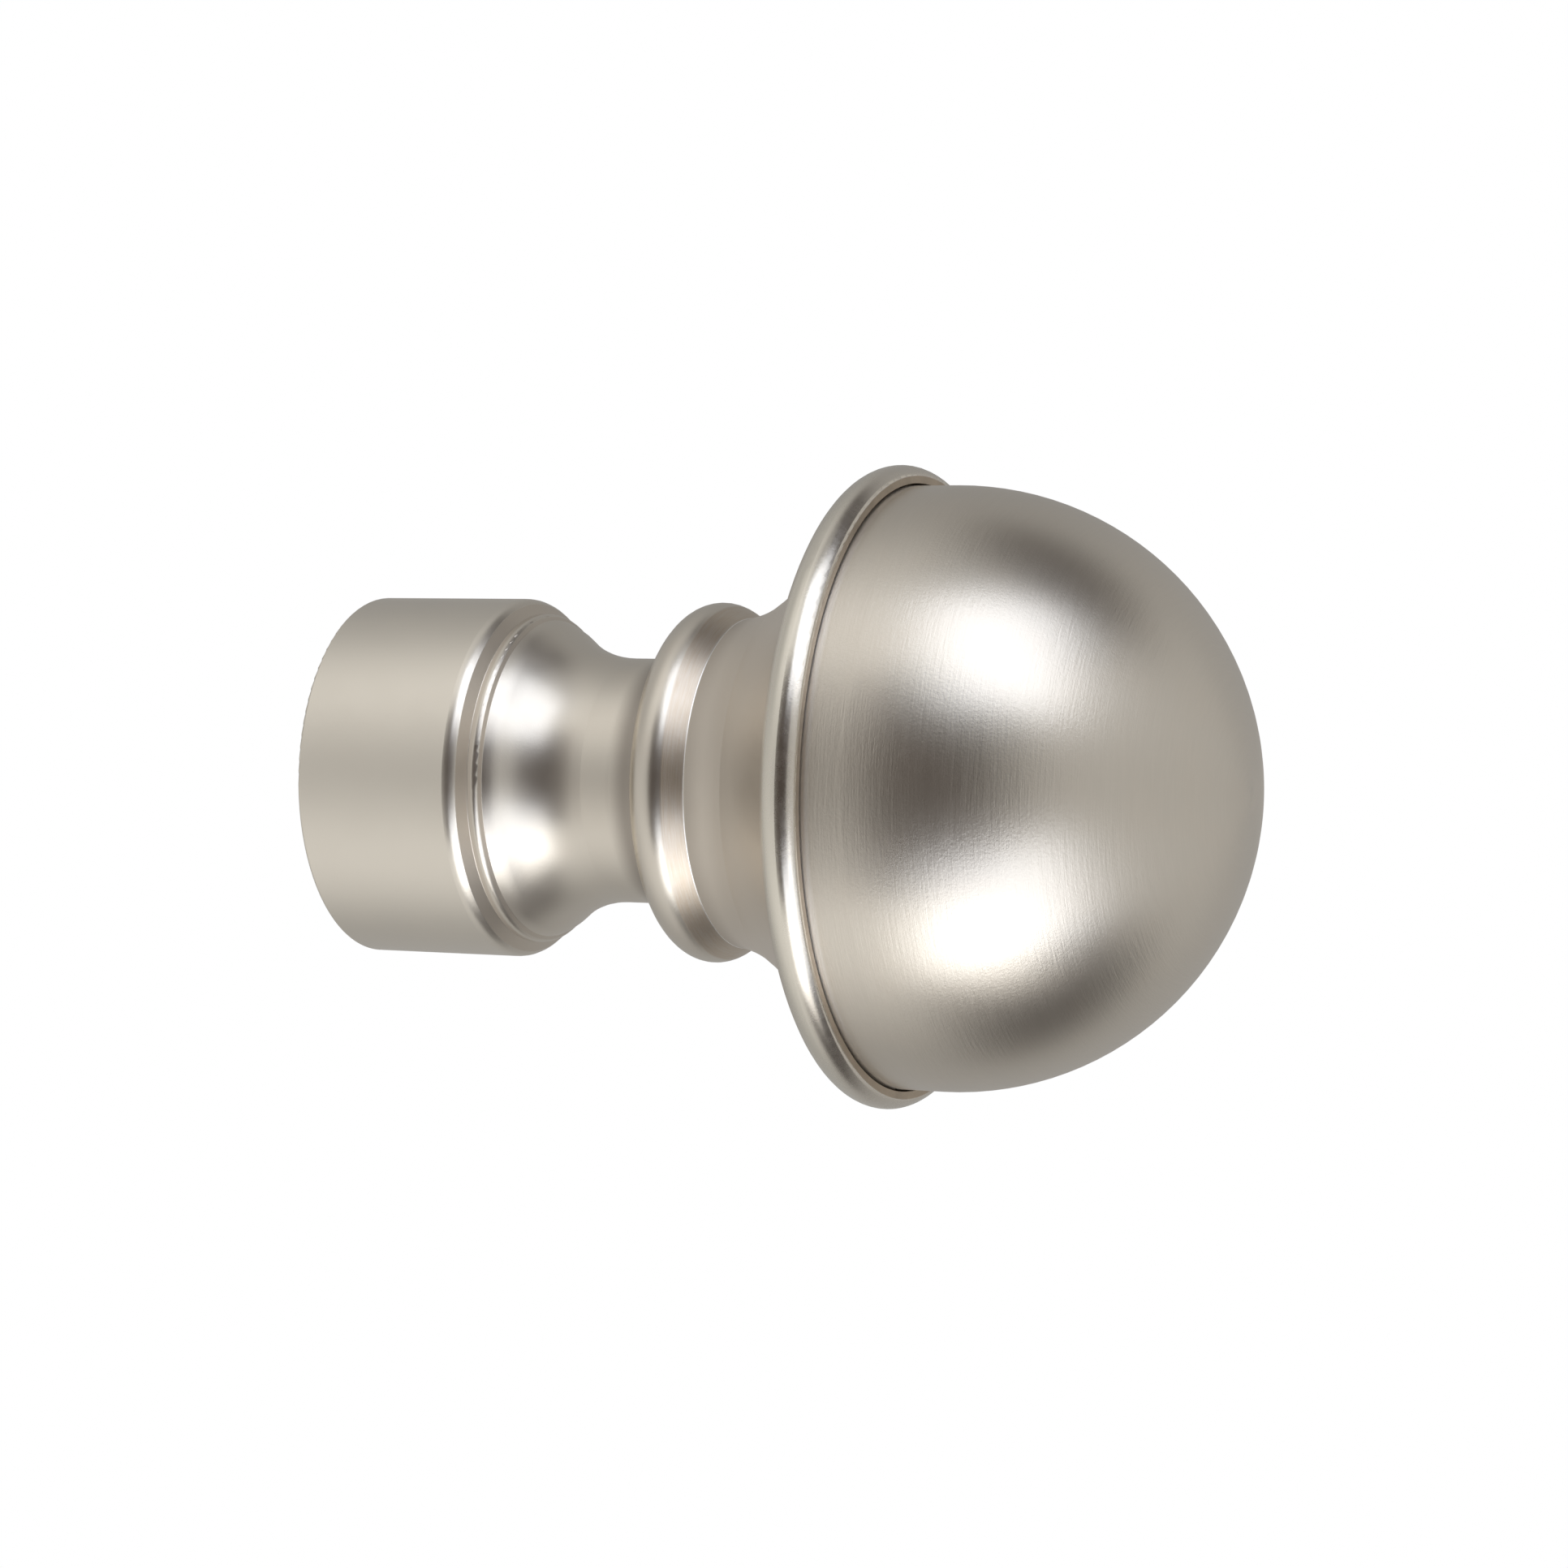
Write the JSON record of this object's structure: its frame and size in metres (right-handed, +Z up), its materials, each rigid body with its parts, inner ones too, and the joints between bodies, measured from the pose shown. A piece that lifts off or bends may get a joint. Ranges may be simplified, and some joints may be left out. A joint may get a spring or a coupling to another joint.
{
  "type": "curtain pole finial",
  "caption": "Turned-profile end finial for a curtain pole: a socket collar, waisted neck, half-round bead and flared cup with a rolled rim that holds a smooth dome.",
  "frame": {"origin": "centre of the pole socket's mouth, on the collar's end face", "axes": "+X along the finial's axis from the pole towards the dome's tip, +Z up, so -Y faces the room and +Y, where the grub screw is, faces the wall"},
  "size_m": [0.0817, 0.0554, 0.0554],
  "materials": {
    "casting": "satin nickel plate on a zinc casting, smooth on the neck, cove and rim, brushed on the bead's flank",
    "dome": "satin nickel plate, brushed round the axis",
    "screw": "plain nickel plated steel"
  },
  "bodies": {
    "root": {"finial_body": "casting", "dome_cap": "dome", "grub_screw": "screw"}
  },
  "joints": []
}
